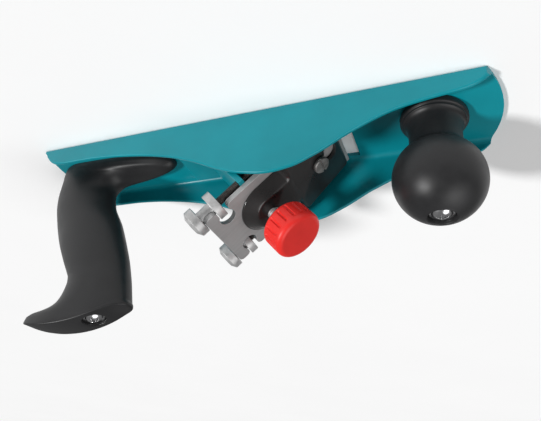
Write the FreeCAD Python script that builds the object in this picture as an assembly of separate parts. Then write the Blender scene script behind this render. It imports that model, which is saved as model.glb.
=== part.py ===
"""Pressed-steel smoothing plane with a plastic front knob and tote.

Frame: +X towards the toe, +Y to the left side, +Z up. The origin is the centre
of the sole, on the plane that the sole rides on. All sizes are millimetres.
"""
import FreeCAD, Part
import math
import os
from FreeCAD import Vector

# ---- body: one pressed sheet, a flat sole with two wavy side walls ----
BODY_LENGTH = 235.0
BODY_WIDTH = 46.0
SOLE_THICKNESS = 2.0
WALL_THICKNESS = 1.8
INNER_BEND_RADIUS = 2.8
OUTER_BEND_RADIUS = 1.2
TOE_BULGE = 6.2              # how far the toe's arc stands past its corners
HEEL_BULGE = 3.6
WALL_CREST_HEIGHT = 36.0
WALL_CREST_X = 24.0
WALL_LOW_HEIGHT = 11.2       # of the low run beside the tote

# ---- iron (blade) and the bed that it lies on ----
BED_ANGLE = 45.0
BED_FOOT_X = 49.06           # where the iron's underside would meet the sole plane
IRON_THICKNESS = 2.5
IRON_LENGTH = 72.9
IRON_SIDE_ROOM = 3.0         # from the iron's edge to the wall's inner face
IRON_RETRACTION = 3.35       # along the bed, edge to the sole plane, at rest
BEVEL_ANGLE = 30.0
HEAD_LENGTH = 6.2            # of the cross-bar that the adjusters push and pull
HEAD_OVERHANG = 0.6
HEAD_CORNER = 2.2
NOTCH_HEIGHT = 5.8
NOTCH_EYE_RADIUS = 4.0
NOTCH_DEPTH = 10.2
IRON_SLOT_WIDTH = 9.4
IRON_SLOT_LENGTH = 21.0
BED_GAP = 0.1                # running gap between the iron and what it slides on
MOUTH_LENGTH = 7.1
MOUTH_SIDE_GAP = 0.6

# ---- frog: a bent bracket, bed leg in front and square leg behind ----
FROG_THICKNESS = 2.5
FROG_HEIGHT_ON_BED = 54.2
BED_HALF_WIDTH = 14.0
FROG_FOOT_HALF_WIDTH = 17.5
FROG_FOOT_LENGTH = 12.0
EAR_MARGIN = 3.5             # of the frog's ear outside each adjuster's axis

# ---- adjusting screws ----
ADJUSTER_INSET = 1.3         # axis inside the iron's edge
ADJUSTER_DROP = 3.1          # axis below the iron's underside
FLANGE_RADIUS = 6.5
LOWER_FLANGE = 3.8
UPPER_FLANGE = 5.0
UPPER_CHAMFER = 1.6
HUB_RADIUS = 3.0
SHANK_RADIUS = 2.0
SHANK_LENGTH = 21.0
GROOVE_CLEARANCE = 0.3
RUNNING_CLEARANCE = 0.05
KNOB_CLEARANCE = 0.1          # between the clamp knob's hole and the stud

# ---- lever cap, fulcrum screw and clamp ----
CAP_SHEET = 1.6
CAP_SET_BACK = 1.9           # of the cap's front end behind the cutting edge
CAP_EDGE_INSET = 0.7
CAP_PLATE_LENGTH = 31.0
CAP_RISE = 3.9               # of the plate from front to back
DOME_HALF_WIDTH = 13.6
DOME_TOP = 8.2               # above the bed plane
DOME_BEVEL = 5.2
DOME_LENGTH = 27.4
FULCRUM_B = 19.8
FULCRUM_RADIUS = 2.5
FULCRUM_HEAD_RADIUS = 4.0
FULCRUM_HEAD_HEIGHT = 1.7
FULCRUM_NUT_HEIGHT = 4.0
FULCRUM_NUT_ACROSS = 9.2
CAP_SLOT_TRAVEL = 7.0          # up the bed, until the screw's head meets the keyhole's eye
KEYHOLE_EYE_RADIUS = 4.4
CLAMP_B = 50.7
CLAMP_SCREW_RADIUS = 3.0
KNOB_RADIUS = 11.4
KNOB_BOTTOM = 16.2
KNOB_LENGTH = 12.1
KNOB_CHAMFER = 2.4
FLUTE_COUNT = 18
FLUTE_RADIUS = 0.85
CLAMP_NUT_ACROSS = 11.6
CLAMP_NUT_HEIGHT = 2.8
COLLAR_HEIGHT = 1.2
SCREW_IN_KNOB = 8.0

# ---- front knob ----
BALL_TO_TOE = 27.6
BALL_RADIUS = 18.5
BALL_CENTRE_Z = 34.75
NECK_RADIUS = 11.0
BASE_RADIUS = 14.3
BASE_RING_HEIGHT = 3.4

# ---- tote ----
TOTE_TO_HEEL = 1.2
TOTE_GAP_TO_FROG = 4.0
FOOT_HALF_WIDTH = 10.8
FOOT_HEIGHT = 5.8
GRIP_HALF_WIDTH = 11.0
TOTE_TOP = 94.8
HEAD_HALF_WIDTH = 8.5
HORN_THICKNESS = 6.2

# ---- fasteners of the knob and the tote ----
BOLT_RADIUS = 2.5
BOLT_HEAD_RADIUS = 4.1
BOLT_HEAD_HEIGHT = 2.0
WASHER_RADIUS = 4.9
WASHER_THICKNESS = 0.8
RECESS_RADIUS = 5.5
RECESS_DEPTH = 2.8
INSERT_RADIUS = 4.5
INSERT_HEIGHT = 8.0
STUD_RADIUS = 2.5
STUD_HEIGHT = 5.0
BORE_CLEARANCE = 0.2

# ---- worked out ----
HALF_LENGTH = BODY_LENGTH / 2
HALF_WIDTH = BODY_WIDTH / 2
INNER_HALF = HALF_WIDTH - WALL_THICKNESS
IRON_HALF = INNER_HALF - IRON_SIDE_ROOM
ADJUSTER_Y = IRON_HALF - ADJUSTER_INSET
ANGLE = math.radians(BED_ANGLE)
IRON_TOP_B = IRON_RETRACTION + IRON_LENGTH
HEAD_B = IRON_TOP_B - HEAD_LENGTH
MOUTH_REAR_X = BED_FOOT_X - SOLE_THICKNESS / math.tan(ANGLE) - 0.4
MOUTH_FRONT_X = MOUTH_REAR_X + MOUTH_LENGTH
BALL_X = HALF_LENGTH - BALL_TO_TOE
CAP_FRONT_B = IRON_RETRACTION + CAP_SET_BACK
CAP_UNDER = IRON_THICKNESS + BED_GAP
PLATE_BACK_B = CAP_FRONT_B + CAP_PLATE_LENGTH
CAP_HALF = IRON_HALF - CAP_EDGE_INSET
TOTE_BACK_X = TOTE_TO_HEEL - HALF_LENGTH
INSERT_BORE = BOLT_RADIUS + RUNNING_CLEARANCE


def on_bed(shape):
    """Place a shape drawn in bed axes: X up the bed, Y to the right, Z off the bed."""
    along = Vector(-math.cos(ANGLE), 0, math.sin(ANGLE))
    off = Vector(math.sin(ANGLE), 0, math.cos(ANGLE))
    matrix = FreeCAD.Matrix(
        along.x, 0, off.x, BED_FOOT_X,
        along.y, -1, off.y, 0,
        along.z, 0, off.z, 0,
        0, 0, 0, 1)
    placed = shape.copy()
    placed.Placement = FreeCAD.Placement(matrix).multiply(shape.Placement)
    return placed


def box(x0, x1, y0, y1, z0, z1):
    return Part.makeBox(x1 - x0, y1 - y0, z1 - z0, Vector(x0, y0, z0))


def rod(radius, length, base, direction=Vector(0, 0, 1)):
    return Part.makeCylinder(radius, length, base, direction)


def prism_y(points, half):
    """A closed XZ polygon carried from -half to +half along Y."""
    wire = Part.makePolygon([Vector(x, -half, z) for x, z in points + points[:1]])
    return Part.Face(wire).extrude(Vector(0, 2 * half, 0))


def prism_z(points, z0, z1):
    """A closed XY polygon carried from z0 to z1."""
    wire = Part.makePolygon([Vector(x, y, z0) for x, y in points + points[:1]])
    return Part.Face(wire).extrude(Vector(0, 0, z1 - z0))


def fillet_where(shape, radius, wanted):
    """Round the edges whose middle point passes the test."""
    edges = [e for e in shape.Edges if wanted(e, e.CenterOfMass)]
    return shape.makeFillet(radius, edges)


def along(edge, axis):
    """True for a straight edge that runs along the axis 'x', 'y' or 'z'."""
    if not isinstance(edge.Curve, Part.Line):
        return False
    direction = edge.tangentAt(edge.FirstParameter)
    return abs(getattr(direction, axis)) > 0.999


def spline(points):
    curve = Part.BSplineCurve()
    curve.interpolate(points)
    return curve.toShape()


# ---------------------------------------------------------------- body

def side_profile():
    """The body's side outline: flat sole, toe nose, wave, and sloping heel end."""
    def at(x, z):
        return Vector(x, -HALF_WIDTH - 1, z)

    toe = HALF_LENGTH
    heel = -HALF_LENGTH
    crest = WALL_CREST_X
    high = WALL_CREST_HEIGHT
    low = WALL_LOW_HEIGHT
    nose_foot = at(toe - 5.2, SOLE_THICKNESS)
    nose_top = at(toe - 13.0, 0.79 * low)
    tail_top = at(heel + 19.5, low)
    tail_foot = at(heel + 4.4, SOLE_THICKNESS)
    wave = spline([
        nose_top,
        at(toe - 25.5, 0.97 * low),
        at(toe - 39.5, 1.21 * low),
        at(crest + 36, 0.585 * high),
        at(crest + 21, 0.83 * high),
        at(crest, high),
        at(crest - 24, 0.845 * high),
        at(crest - 39, 0.655 * high),
        at(crest - 54, 0.515 * high),
        at(crest - 74, low + 3.1),
        at(crest - 94, low + 0.7),
        tail_top])
    edges = [
        Part.makeLine(at(heel - 1, 0), at(toe + 1, 0)),
        Part.makeLine(at(toe + 1, 0), at(toe + 1, SOLE_THICKNESS)),
        Part.makeLine(at(toe + 1, SOLE_THICKNESS), nose_foot),
        Part.Arc(nose_foot, at(toe - 8.2, 0.56 * low), nose_top).toShape(),
        wave,
        Part.Arc(tail_top, at(heel + 11.2, 0.8 * low), tail_foot).toShape(),
        Part.makeLine(tail_foot, at(heel - 1, SOLE_THICKNESS)),
        Part.makeLine(at(heel - 1, SOLE_THICKNESS), at(heel - 1, 0))]
    return Part.Face(Part.Wire(edges)).extrude(Vector(0, BODY_WIDTH + 2, 0))


def plan_outline():
    """The body's plan: straight sides, an arc at the toe and a flatter one at the heel."""
    def end(x, bulge, sign):
        corner = x - sign * bulge
        return Vector(corner, -HALF_WIDTH, -1), Vector(x, 0, -1), Vector(corner, HALF_WIDTH, -1)

    toe = end(HALF_LENGTH, TOE_BULGE, 1)
    heel = end(-HALF_LENGTH, HEEL_BULGE, -1)
    edges = [
        Part.Arc(*toe).toShape(),
        Part.makeLine(toe[2], heel[2]),
        Part.Arc(heel[2], heel[1], heel[0]).toShape(),
        Part.makeLine(heel[0], toe[0])]
    return Part.Face(Part.Wire(edges)).extrude(Vector(0, 0, WALL_CREST_HEIGHT + 2))


def make_body():
    height = WALL_CREST_HEIGHT + 1
    outer = box(-HALF_LENGTH, HALF_LENGTH, -HALF_WIDTH, HALF_WIDTH, 0, height)
    outer = fillet_where(outer, OUTER_BEND_RADIUS, lambda e, c: along(e, "x") and c.z < 1)
    inner = box(-HALF_LENGTH - 1, HALF_LENGTH + 1, -INNER_HALF, INNER_HALF, SOLE_THICKNESS, height + 1)
    inner = fillet_where(inner, INNER_BEND_RADIUS, lambda e, c: along(e, "x") and c.z < height / 2)
    body = outer.cut(inner).common(side_profile()).common(plan_outline())
    mouth_half = IRON_HALF + MOUTH_SIDE_GAP
    body = body.cut(box(MOUTH_REAR_X, MOUTH_FRONT_X, -mouth_half, mouth_half, -1, SOLE_THICKNESS + 4))
    for x in (BALL_X, tote_bolt_foot().x):
        body = body.cut(rod(INSERT_RADIUS, SOLE_THICKNESS + 2, Vector(x, 0, -1)))
    body = body.cut(rod(STUD_RADIUS, SOLE_THICKNESS + 2, Vector(stud_x(), 0, -1)))
    return body.removeSplitter()


# ---------------------------------------------------------------- frog

def frog_back_x():
    """Where the square leg's back face meets the sole's top face."""
    return BED_FOOT_X - (FROG_HEIGHT_ON_BED * 2 - SOLE_THICKNESS / math.sin(ANGLE)) * math.cos(ANGLE)


def frog_front_foot_x():
    return MOUTH_REAR_X - 4.0


def make_frog():
    """Bed leg, square leg with an ear each side, and two feet turned to the rear."""
    ear = ADJUSTER_Y + EAR_MARGIN
    top = FROG_HEIGHT_ON_BED
    deep = top * 1.2
    bed_low = box(-5, top - 18, -FROG_FOOT_HALF_WIDTH, FROG_FOOT_HALF_WIDTH,
                  -BED_GAP - FROG_THICKNESS, -BED_GAP)
    bed_high = box(-5, top, -BED_HALF_WIDTH, BED_HALF_WIDTH, -BED_GAP - FROG_THICKNESS, -BED_GAP)
    leg = box(top - FROG_THICKNESS, top, -ear, ear, -deep, -BED_GAP)
    frog = on_bed(bed_low.fuse(bed_high).fuse(leg))
    frog = frog.common(box(-HALF_LENGTH, HALF_LENGTH, -ear, ear, SOLE_THICKNESS, BODY_WIDTH * 3))
    shoulder = SOLE_THICKNESS + INNER_BEND_RADIUS + 4
    for side in (-1, 1):
        corner = prism_yz([(side * FROG_FOOT_HALF_WIDTH, 0), (side * (ear + 1), 0),
                           (side * (ear + 1), shoulder + 4), (side * FROG_FOOT_HALF_WIDTH, shoulder)])
        frog = frog.cut(corner)
    foot_top = SOLE_THICKNESS + FROG_THICKNESS
    half = FROG_FOOT_HALF_WIDTH
    front = frog_front_foot_x()
    back = frog_back_x()
    frog = frog.fuse(box(front - FROG_FOOT_LENGTH, front, -half, half, SOLE_THICKNESS, foot_top))
    frog = frog.fuse(box(back - FROG_FOOT_LENGTH, back + 3, -half, half, SOLE_THICKNESS, foot_top))
    for y in (-ADJUSTER_Y, ADJUSTER_Y):
        hole = rod(SHANK_RADIUS + RUNNING_CLEARANCE, 3 * FROG_THICKNESS,
                   Vector(top - 2 * FROG_THICKNESS, y, -ADJUSTER_DROP), Vector(1, 0, 0))
        frog = frog.cut(on_bed(hole))
    fulcrum = rod(FULCRUM_RADIUS, 3 * FROG_THICKNESS, Vector(FULCRUM_B, 0, -2 * FROG_THICKNESS))
    frog = frog.cut(on_bed(fulcrum))
    return frog.removeSplitter()


def prism_yz(points):
    """A closed YZ polygon carried along the whole length of the body."""
    wire = Part.makePolygon([Vector(-HALF_LENGTH, y, z) for y, z in points + points[:1]])
    return Part.Face(wire).extrude(Vector(BODY_LENGTH, 0, 0))


# ---------------------------------------------------------------- iron

def make_iron():
    """Flat steel plate: bevelled edge, clearance slot, two notches and a cross-bar head."""
    tip = IRON_RETRACTION
    head = IRON_HALF + HEAD_OVERHANG
    iron = box(tip, HEAD_B, -IRON_HALF, IRON_HALF, 0, IRON_THICKNESS)
    bar = box(HEAD_B - 1, IRON_TOP_B, -head, head, 0, IRON_THICKNESS)
    iron = iron.fuse(bar).removeSplitter()
    notch_b = HEAD_B - NOTCH_HEIGHT / 2
    eye_y = IRON_HALF - NOTCH_DEPTH + NOTCH_EYE_RADIUS
    for side in (-1, 1):
        eye = rod(NOTCH_EYE_RADIUS, IRON_THICKNESS + 2, Vector(notch_b, side * eye_y, -1))
        y0, y1 = sorted((side * eye_y, side * (head + 1)))
        iron = iron.cut(eye).cut(box(HEAD_B - NOTCH_HEIGHT, HEAD_B, y0, y1, -1, IRON_THICKNESS + 1))
    iron = iron.removeSplitter()
    iron = fillet_where(iron, HEAD_CORNER, lambda e, c: along(e, "z")
                        and c.x > HEAD_B - NOTCH_HEIGHT - 0.5 and abs(c.y) > IRON_HALF - 0.5)
    run = IRON_THICKNESS / math.tan(math.radians(BEVEL_ANGLE))
    bevel = prism_y([(tip - 1, -1), (tip + run + run / IRON_THICKNESS, -1),
                     (tip, IRON_THICKNESS), (tip - 1, IRON_THICKNESS)], BODY_WIDTH)
    iron = iron.cut(bevel)
    half = IRON_SLOT_WIDTH / 2
    first = FULCRUM_B - half + 3.6
    last = first + IRON_SLOT_LENGTH - IRON_SLOT_WIDTH
    slot = box(first, last, -half, half, -1, IRON_THICKNESS + 1)
    for b in (first, last):
        slot = slot.fuse(rod(half, IRON_THICKNESS + 2, Vector(b, 0, -1)))
    return on_bed(iron.cut(slot).removeSplitter())


# ---------------------------------------------------------------- adjusters

def make_adjuster(y):
    """Threaded shank, lower flange, hub and chamfered upper flange on one axis."""
    up = Vector(1, 0, 0)
    lower = HEAD_B - GROOVE_CLEARANCE - LOWER_FLANGE
    upper = IRON_TOP_B + GROOVE_CLEARANCE

    def disc(radius, start, length):
        return rod(radius, length, Vector(start, y, -ADJUSTER_DROP), up)

    top = disc(FLANGE_RADIUS, upper, UPPER_FLANGE - UPPER_CHAMFER)
    cone = Part.makeCone(FLANGE_RADIUS, FLANGE_RADIUS - 1.6 * UPPER_CHAMFER, UPPER_CHAMFER,
                         Vector(upper + UPPER_FLANGE - UPPER_CHAMFER, y, -ADJUSTER_DROP), up)
    shape = disc(SHANK_RADIUS, lower - SHANK_LENGTH, SHANK_LENGTH)
    shape = shape.fuse(disc(FLANGE_RADIUS, lower, LOWER_FLANGE))
    shape = shape.fuse(disc(HUB_RADIUS, lower + LOWER_FLANGE, upper - lower - LOWER_FLANGE))
    return on_bed(shape.fuse(top).fuse(cone).removeSplitter())


# ---------------------------------------------------------------- lever cap

def cap_dome(half, length, low, high, bevel, start):
    """A stadium-ended block whose top edges are bevelled."""
    centre = start + length - half
    block = box(start, centre, -half, half, low, high)
    block = block.fuse(rod(half, high - low, Vector(centre, 0, low))).removeSplitter()
    edges = [e for e in block.Edges
             if abs(e.CenterOfMass.z - high) < 1e-6 and e.CenterOfMass.x > start + 0.1]
    return block.makeChamfer(bevel, edges)


def make_lever_cap():
    """Sloping front plate and a hollow bevelled dome with a round end."""
    front = CAP_FRONT_B
    back = PLATE_BACK_B
    nose = 1.0
    plate = prism_y([(front, CAP_UNDER), (back, CAP_UNDER + CAP_RISE),
                     (back, CAP_UNDER + CAP_RISE + CAP_SHEET),
                     (front + nose, CAP_UNDER + CAP_SHEET + 0.1), (front, CAP_UNDER + nose)],
                    CAP_HALF)
    plate = fillet_where(plate, 2.0, lambda e, c: along(e, "z") and c.x > back - 0.1)
    outer = cap_dome(DOME_HALF_WIDTH, DOME_LENGTH, CAP_UNDER, DOME_TOP, DOME_BEVEL, back)
    inner = cap_dome(DOME_HALF_WIDTH - CAP_SHEET, DOME_LENGTH - CAP_SHEET, CAP_UNDER - 1,
                     DOME_TOP - CAP_SHEET, DOME_BEVEL * 0.85, back)
    inner = inner.fuse(box(back - 1, back + 1, -DOME_BEVEL, DOME_BEVEL, CAP_UNDER - 1,
                           DOME_TOP - CAP_SHEET - 0.2))
    cap = plate.fuse(outer).cut(inner)
    under_plate = prism_y([(front - 1, CAP_UNDER - 3), (back, CAP_UNDER - 3),
                           (back, CAP_UNDER + CAP_RISE), (front, CAP_UNDER), (front - 1, CAP_UNDER)],
                          CAP_HALF + 1)
    cap = cap.cut(under_plate)
    half = FULCRUM_RADIUS + BORE_CLEARANCE
    eye_b = FULCRUM_B - CAP_SLOT_TRAVEL
    keyhole = box(eye_b, FULCRUM_B, -half, half, 0, 2 * DOME_TOP)
    keyhole = keyhole.fuse(rod(half, 2 * DOME_TOP, Vector(FULCRUM_B, 0, 0)))
    keyhole = keyhole.fuse(rod(KEYHOLE_EYE_RADIUS, 2 * DOME_TOP, Vector(eye_b, 0, 0)))
    clamp = rod(CLAMP_SCREW_RADIUS + RUNNING_CLEARANCE, 2 * DOME_TOP, Vector(CLAMP_B, 0, 0))
    return on_bed(cap.cut(keyhole).cut(clamp).removeSplitter())


def plate_top_at(b):
    """Height of the cap plate's top face above the bed plane, at b along the bed."""
    return CAP_UNDER + CAP_SHEET + CAP_RISE * (b - CAP_FRONT_B) / CAP_PLATE_LENGTH


def hexagon(radius, length, base):
    corners = [(base.x + radius * math.cos(math.radians(60 * k)),
                base.y + radius * math.sin(math.radians(60 * k))) for k in range(6)]
    return prism_z(corners, base.z, base.z + length)


def make_fulcrum_screw():
    """Slotted cheese-head screw through the cap and the iron into the frog's nut."""
    seat = plate_top_at(FULCRUM_B + FULCRUM_HEAD_RADIUS) + BED_GAP
    foot = -BED_GAP - FROG_THICKNESS - FULCRUM_NUT_HEIGHT - 1.5
    shank = rod(FULCRUM_RADIUS, seat - foot + 0.5, Vector(FULCRUM_B, 0, foot))
    head = rod(FULCRUM_HEAD_RADIUS, FULCRUM_HEAD_HEIGHT, Vector(FULCRUM_B, 0, seat))
    head = fillet_where(head, 0.5, lambda e, c: c.z > seat + 1 and isinstance(e.Curve, Part.Circle))
    slot = box(FULCRUM_B - 0.6, FULCRUM_B + 0.6, -FULCRUM_HEAD_RADIUS, FULCRUM_HEAD_RADIUS,
               seat + FULCRUM_HEAD_HEIGHT - 0.9, seat + 2 * FULCRUM_HEAD_HEIGHT)
    return on_bed(shank.fuse(head).cut(slot).removeSplitter())


def make_fulcrum_nut():
    base = -BED_GAP - FROG_THICKNESS - FULCRUM_NUT_HEIGHT
    nut = hexagon(FULCRUM_NUT_ACROSS / 2, FULCRUM_NUT_HEIGHT, Vector(FULCRUM_B, 0, base))
    bore = rod(FULCRUM_RADIUS, FULCRUM_NUT_HEIGHT + 2, Vector(FULCRUM_B, 0, base - 1))
    return on_bed(nut.cut(bore))


def make_clamp_nut():
    """Weld nut inside the dome, which carries the clamp screw's thread."""
    base = DOME_TOP - CAP_SHEET - CLAMP_NUT_HEIGHT
    nut = hexagon(CLAMP_NUT_ACROSS / 2, CLAMP_NUT_HEIGHT, Vector(CLAMP_B, 0, base))
    bore = rod(CLAMP_SCREW_RADIUS + RUNNING_CLEARANCE, CLAMP_NUT_HEIGHT + 2, Vector(CLAMP_B, 0, base - 1))
    return on_bed(nut.cut(bore))


def make_clamp_screw():
    """Plain stud, rounded at the tip that presses on the iron."""
    tip = IRON_THICKNESS + BED_GAP
    stud = rod(CLAMP_SCREW_RADIUS, KNOB_BOTTOM + SCREW_IN_KNOB - tip, Vector(CLAMP_B, 0, tip))
    stud = fillet_where(stud, 1.0, lambda e, c: c.z < tip + 0.1 and isinstance(e.Curve, Part.Circle))
    collar = rod(CLAMP_SCREW_RADIUS + 1.5, COLLAR_HEIGHT, Vector(CLAMP_B, 0, KNOB_BOTTOM - COLLAR_HEIGHT))
    return on_bed(stud.fuse(collar).removeSplitter())


def make_clamp_knob():
    """Fluted plastic knob, bevelled on top, with a blind hole for the stud."""
    knob = rod(KNOB_RADIUS, KNOB_LENGTH, Vector(CLAMP_B, 0, KNOB_BOTTOM))
    top = KNOB_BOTTOM + KNOB_LENGTH
    edges = [e for e in knob.Edges if abs(e.CenterOfMass.z - top) < 1e-6]
    knob = knob.makeChamfer(KNOB_CHAMFER, edges)
    for k in range(FLUTE_COUNT):
        turn = math.radians(360.0 * k / FLUTE_COUNT)
        at = Vector(CLAMP_B + KNOB_RADIUS * math.cos(turn), KNOB_RADIUS * math.sin(turn), KNOB_BOTTOM - 1)
        knob = knob.cut(rod(FLUTE_RADIUS, KNOB_LENGTH + 2, at))
    hole = rod(CLAMP_SCREW_RADIUS + KNOB_CLEARANCE, SCREW_IN_KNOB + KNOB_CLEARANCE,
               Vector(CLAMP_B, 0, KNOB_BOTTOM))
    return on_bed(knob.cut(hole))


# ---------------------------------------------------------------- front knob

def make_front_knob():
    """Turned plastic knob: ringed base, waist and ball, with a bore for its bolt."""
    base = SOLE_THICKNESS
    ring = base + BASE_RING_HEIGHT
    join_z = BALL_CENTRE_Z - math.sqrt(BALL_RADIUS ** 2 - NECK_RADIUS ** 2)
    waist_z = (ring + join_z) / 2 + 1.5
    flat_z = BALL_CENTRE_Z + math.sqrt(BALL_RADIUS ** 2 - RECESS_RADIUS ** 2)
    floor_z = flat_z - RECESS_DEPTH

    def at(r, z):
        return Vector(BALL_X + r, 0, z)

    bore = BOLT_RADIUS + BORE_CLEARANCE
    cup = INSERT_RADIUS + BORE_CLEARANCE
    cup_top = base + INSERT_HEIGHT + BORE_CLEARANCE
    edges = [
        Part.makeLine(at(cup, base), at(BASE_RADIUS, base)),
        Part.makeLine(at(BASE_RADIUS, base), at(BASE_RADIUS, ring)),
        Part.makeLine(at(BASE_RADIUS, ring), at(BASE_RADIUS - 0.9, ring + 0.6)),
        Part.Arc(at(BASE_RADIUS - 0.9, ring + 0.6), at(NECK_RADIUS + 0.5, waist_z - 2),
                 at(NECK_RADIUS, join_z)).toShape(),
        Part.Arc(at(NECK_RADIUS, join_z), at(BALL_RADIUS, BALL_CENTRE_Z),
                 at(RECESS_RADIUS, flat_z)).toShape(),
        Part.makeLine(at(RECESS_RADIUS, flat_z), at(RECESS_RADIUS, floor_z)),
        Part.makeLine(at(RECESS_RADIUS, floor_z), at(bore, floor_z)),
        Part.makeLine(at(bore, floor_z), at(bore, cup_top)),
        Part.makeLine(at(bore, cup_top), at(cup, cup_top)),
        Part.makeLine(at(cup, cup_top), at(cup, base))]
    face = Part.Face(Part.Wire(edges))
    return face.revolve(Vector(BALL_X, 0, 0), Vector(0, 0, 1), 360)


def make_washer(base, direction):
    ring = rod(WASHER_RADIUS, WASHER_THICKNESS, base, direction)
    return ring.cut(rod(BOLT_RADIUS + 0.1, WASHER_THICKNESS * 3, base - direction * WASHER_THICKNESS,
                        direction))


def make_bolt(seat, foot):
    """Domed cross-slot bolt whose head sits at seat and whose shank ends at foot."""
    axis = (seat - foot).normalize()
    shank = rod(BOLT_RADIUS, (seat - foot).Length + 0.2, foot, axis)
    dome_radius = (BOLT_HEAD_RADIUS ** 2 + BOLT_HEAD_HEIGHT ** 2) / (2 * BOLT_HEAD_HEIGHT)
    ball = Part.makeSphere(dome_radius, seat + axis * (BOLT_HEAD_HEIGHT - dome_radius))
    head = rod(BOLT_HEAD_RADIUS, BOLT_HEAD_HEIGHT, seat, axis).common(ball)
    cross = box(-2.2, 2.2, -0.45, 0.45, 0, 2).fuse(box(-0.45, 0.45, -2.2, 2.2, 0, 2))
    cross.Placement = FreeCAD.Placement(seat + axis * (BOLT_HEAD_HEIGHT - 1.3),
                                        FreeCAD.Rotation(Vector(0, 0, 1), axis))
    return shank.fuse(head).cut(cross).removeSplitter()


def make_insert(foot, axis):
    """Threaded bush pressed into the sole, flush with its underside."""
    outer = rod(INSERT_RADIUS, SOLE_THICKNESS + INSERT_HEIGHT, Vector(foot.x, foot.y, 0))
    bore = rod(INSERT_BORE, 4 * INSERT_HEIGHT, foot, axis)
    return outer.cut(bore)


def knob_bolt_seat():
    flat_z = BALL_CENTRE_Z + math.sqrt(BALL_RADIUS ** 2 - RECESS_RADIUS ** 2)
    return Vector(BALL_X, 0, flat_z - RECESS_DEPTH + WASHER_THICKNESS)


def knob_bolt_foot():
    return Vector(BALL_X, 0, SOLE_THICKNESS + 1.0)


# ---------------------------------------------------------------- tote

def tote_tip_x():
    return frog_back_x() - FROG_FOOT_LENGTH - TOTE_GAP_TO_FROG


def stud_x():
    return tote_tip_x() - FOOT_HALF_WIDTH


def tote_bolt_foot():
    return Vector(TOTE_BACK_X + 19.0, 0, SOLE_THICKNESS + 1.0)


def tote_bolt_seat():
    return Vector(TOTE_BACK_X + 50.6, 0, TOTE_TOP - 5.8)


def grip_sections():
    """(height, distance of the centre in front of the tote's back, half length, half width)."""
    flare = SOLE_THICKNESS + FOOT_HEIGHT
    wide = GRIP_HALF_WIDTH
    top = TOTE_TOP
    return [
        (SOLE_THICKNESS + 1, 21.8, 21.0, wide - 1.6),
        (flare - 1.0, 21.4, 20.6, wide - 1.4),
        (flare + 4, 19.6, 18.0, wide - 0.6),
        (flare + 12, 19.4, 18.2, wide),
        (34.0, 25.9, 19.8, wide + 0.2),
        (46.0, 32.7, 20.6, wide),
        (58.0, 39.4, 19.6, wide - 0.5),
        (68.0, 45.2, 18.4, wide - 1.3),
        (top - 18, 47.25, 18.75, wide - 2.6),
        (top - 11.5, 47.3, 18.6, wide - 3.2)]


def oval(x, z, half_x, half_y):
    curve = Part.Ellipse(Vector(x, 0, z), half_x, half_y)
    return Part.Wire(curve.toShape())


def make_tote():
    """Grip lofted through ovals, a lobed foot along the sole and a horn-ended head."""
    ovals = [oval(TOTE_BACK_X + ahead, z, half, wide) for z, ahead, half, wide in grip_sections()]
    grip = Part.makeLoft(ovals, True, False)
    tote = grip.fuse(make_foot()).fuse(make_head())
    axis = (tote_bolt_seat() - tote_bolt_foot()).normalize()
    floor = tote_bolt_seat() - axis * WASHER_THICKNESS
    foot_x = tote_bolt_foot().x
    cup = INSERT_RADIUS + BORE_CLEARANCE
    tote = tote.cut(rod(RECESS_RADIUS, 20, floor, axis))
    tote = tote.cut(rod(BOLT_RADIUS + BORE_CLEARANCE, 200, tote_bolt_foot() - axis * 10, axis))
    tote = tote.cut(rod(cup, INSERT_HEIGHT + BORE_CLEARANCE + 1, Vector(foot_x, 0, SOLE_THICKNESS - 1)))
    return tote.cut(rod(STUD_RADIUS + BORE_CLEARANCE, STUD_HEIGHT + BORE_CLEARANCE + 1,
                        Vector(stud_x(), 0, SOLE_THICKNESS - 1)))


def make_foot():
    """Round-ended foot from behind the frog to the heel, its top edges rounded."""
    half = FOOT_HALF_WIDTH
    tip = tote_tip_x() - half
    back = TOTE_BACK_X + half
    low = SOLE_THICKNESS

    def at(x, y):
        return Vector(x, y, low)

    outline = [
        Part.makeLine(at(back, -half), at(tip, -half)),
        Part.Arc(at(tip, -half), at(tip + half, 0), at(tip, half)).toShape(),
        Part.makeLine(at(tip, half), at(back, half)),
        Part.Arc(at(back, half), at(back - half, 0), at(back, -half)).toShape()]
    foot = Part.Face(Part.Wire(outline)).extrude(Vector(0, 0, FOOT_HEIGHT))
    return fillet_where(foot, FOOT_HEIGHT * 0.45, lambda e, c: c.z > low + FOOT_HEIGHT - 0.1)


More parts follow.
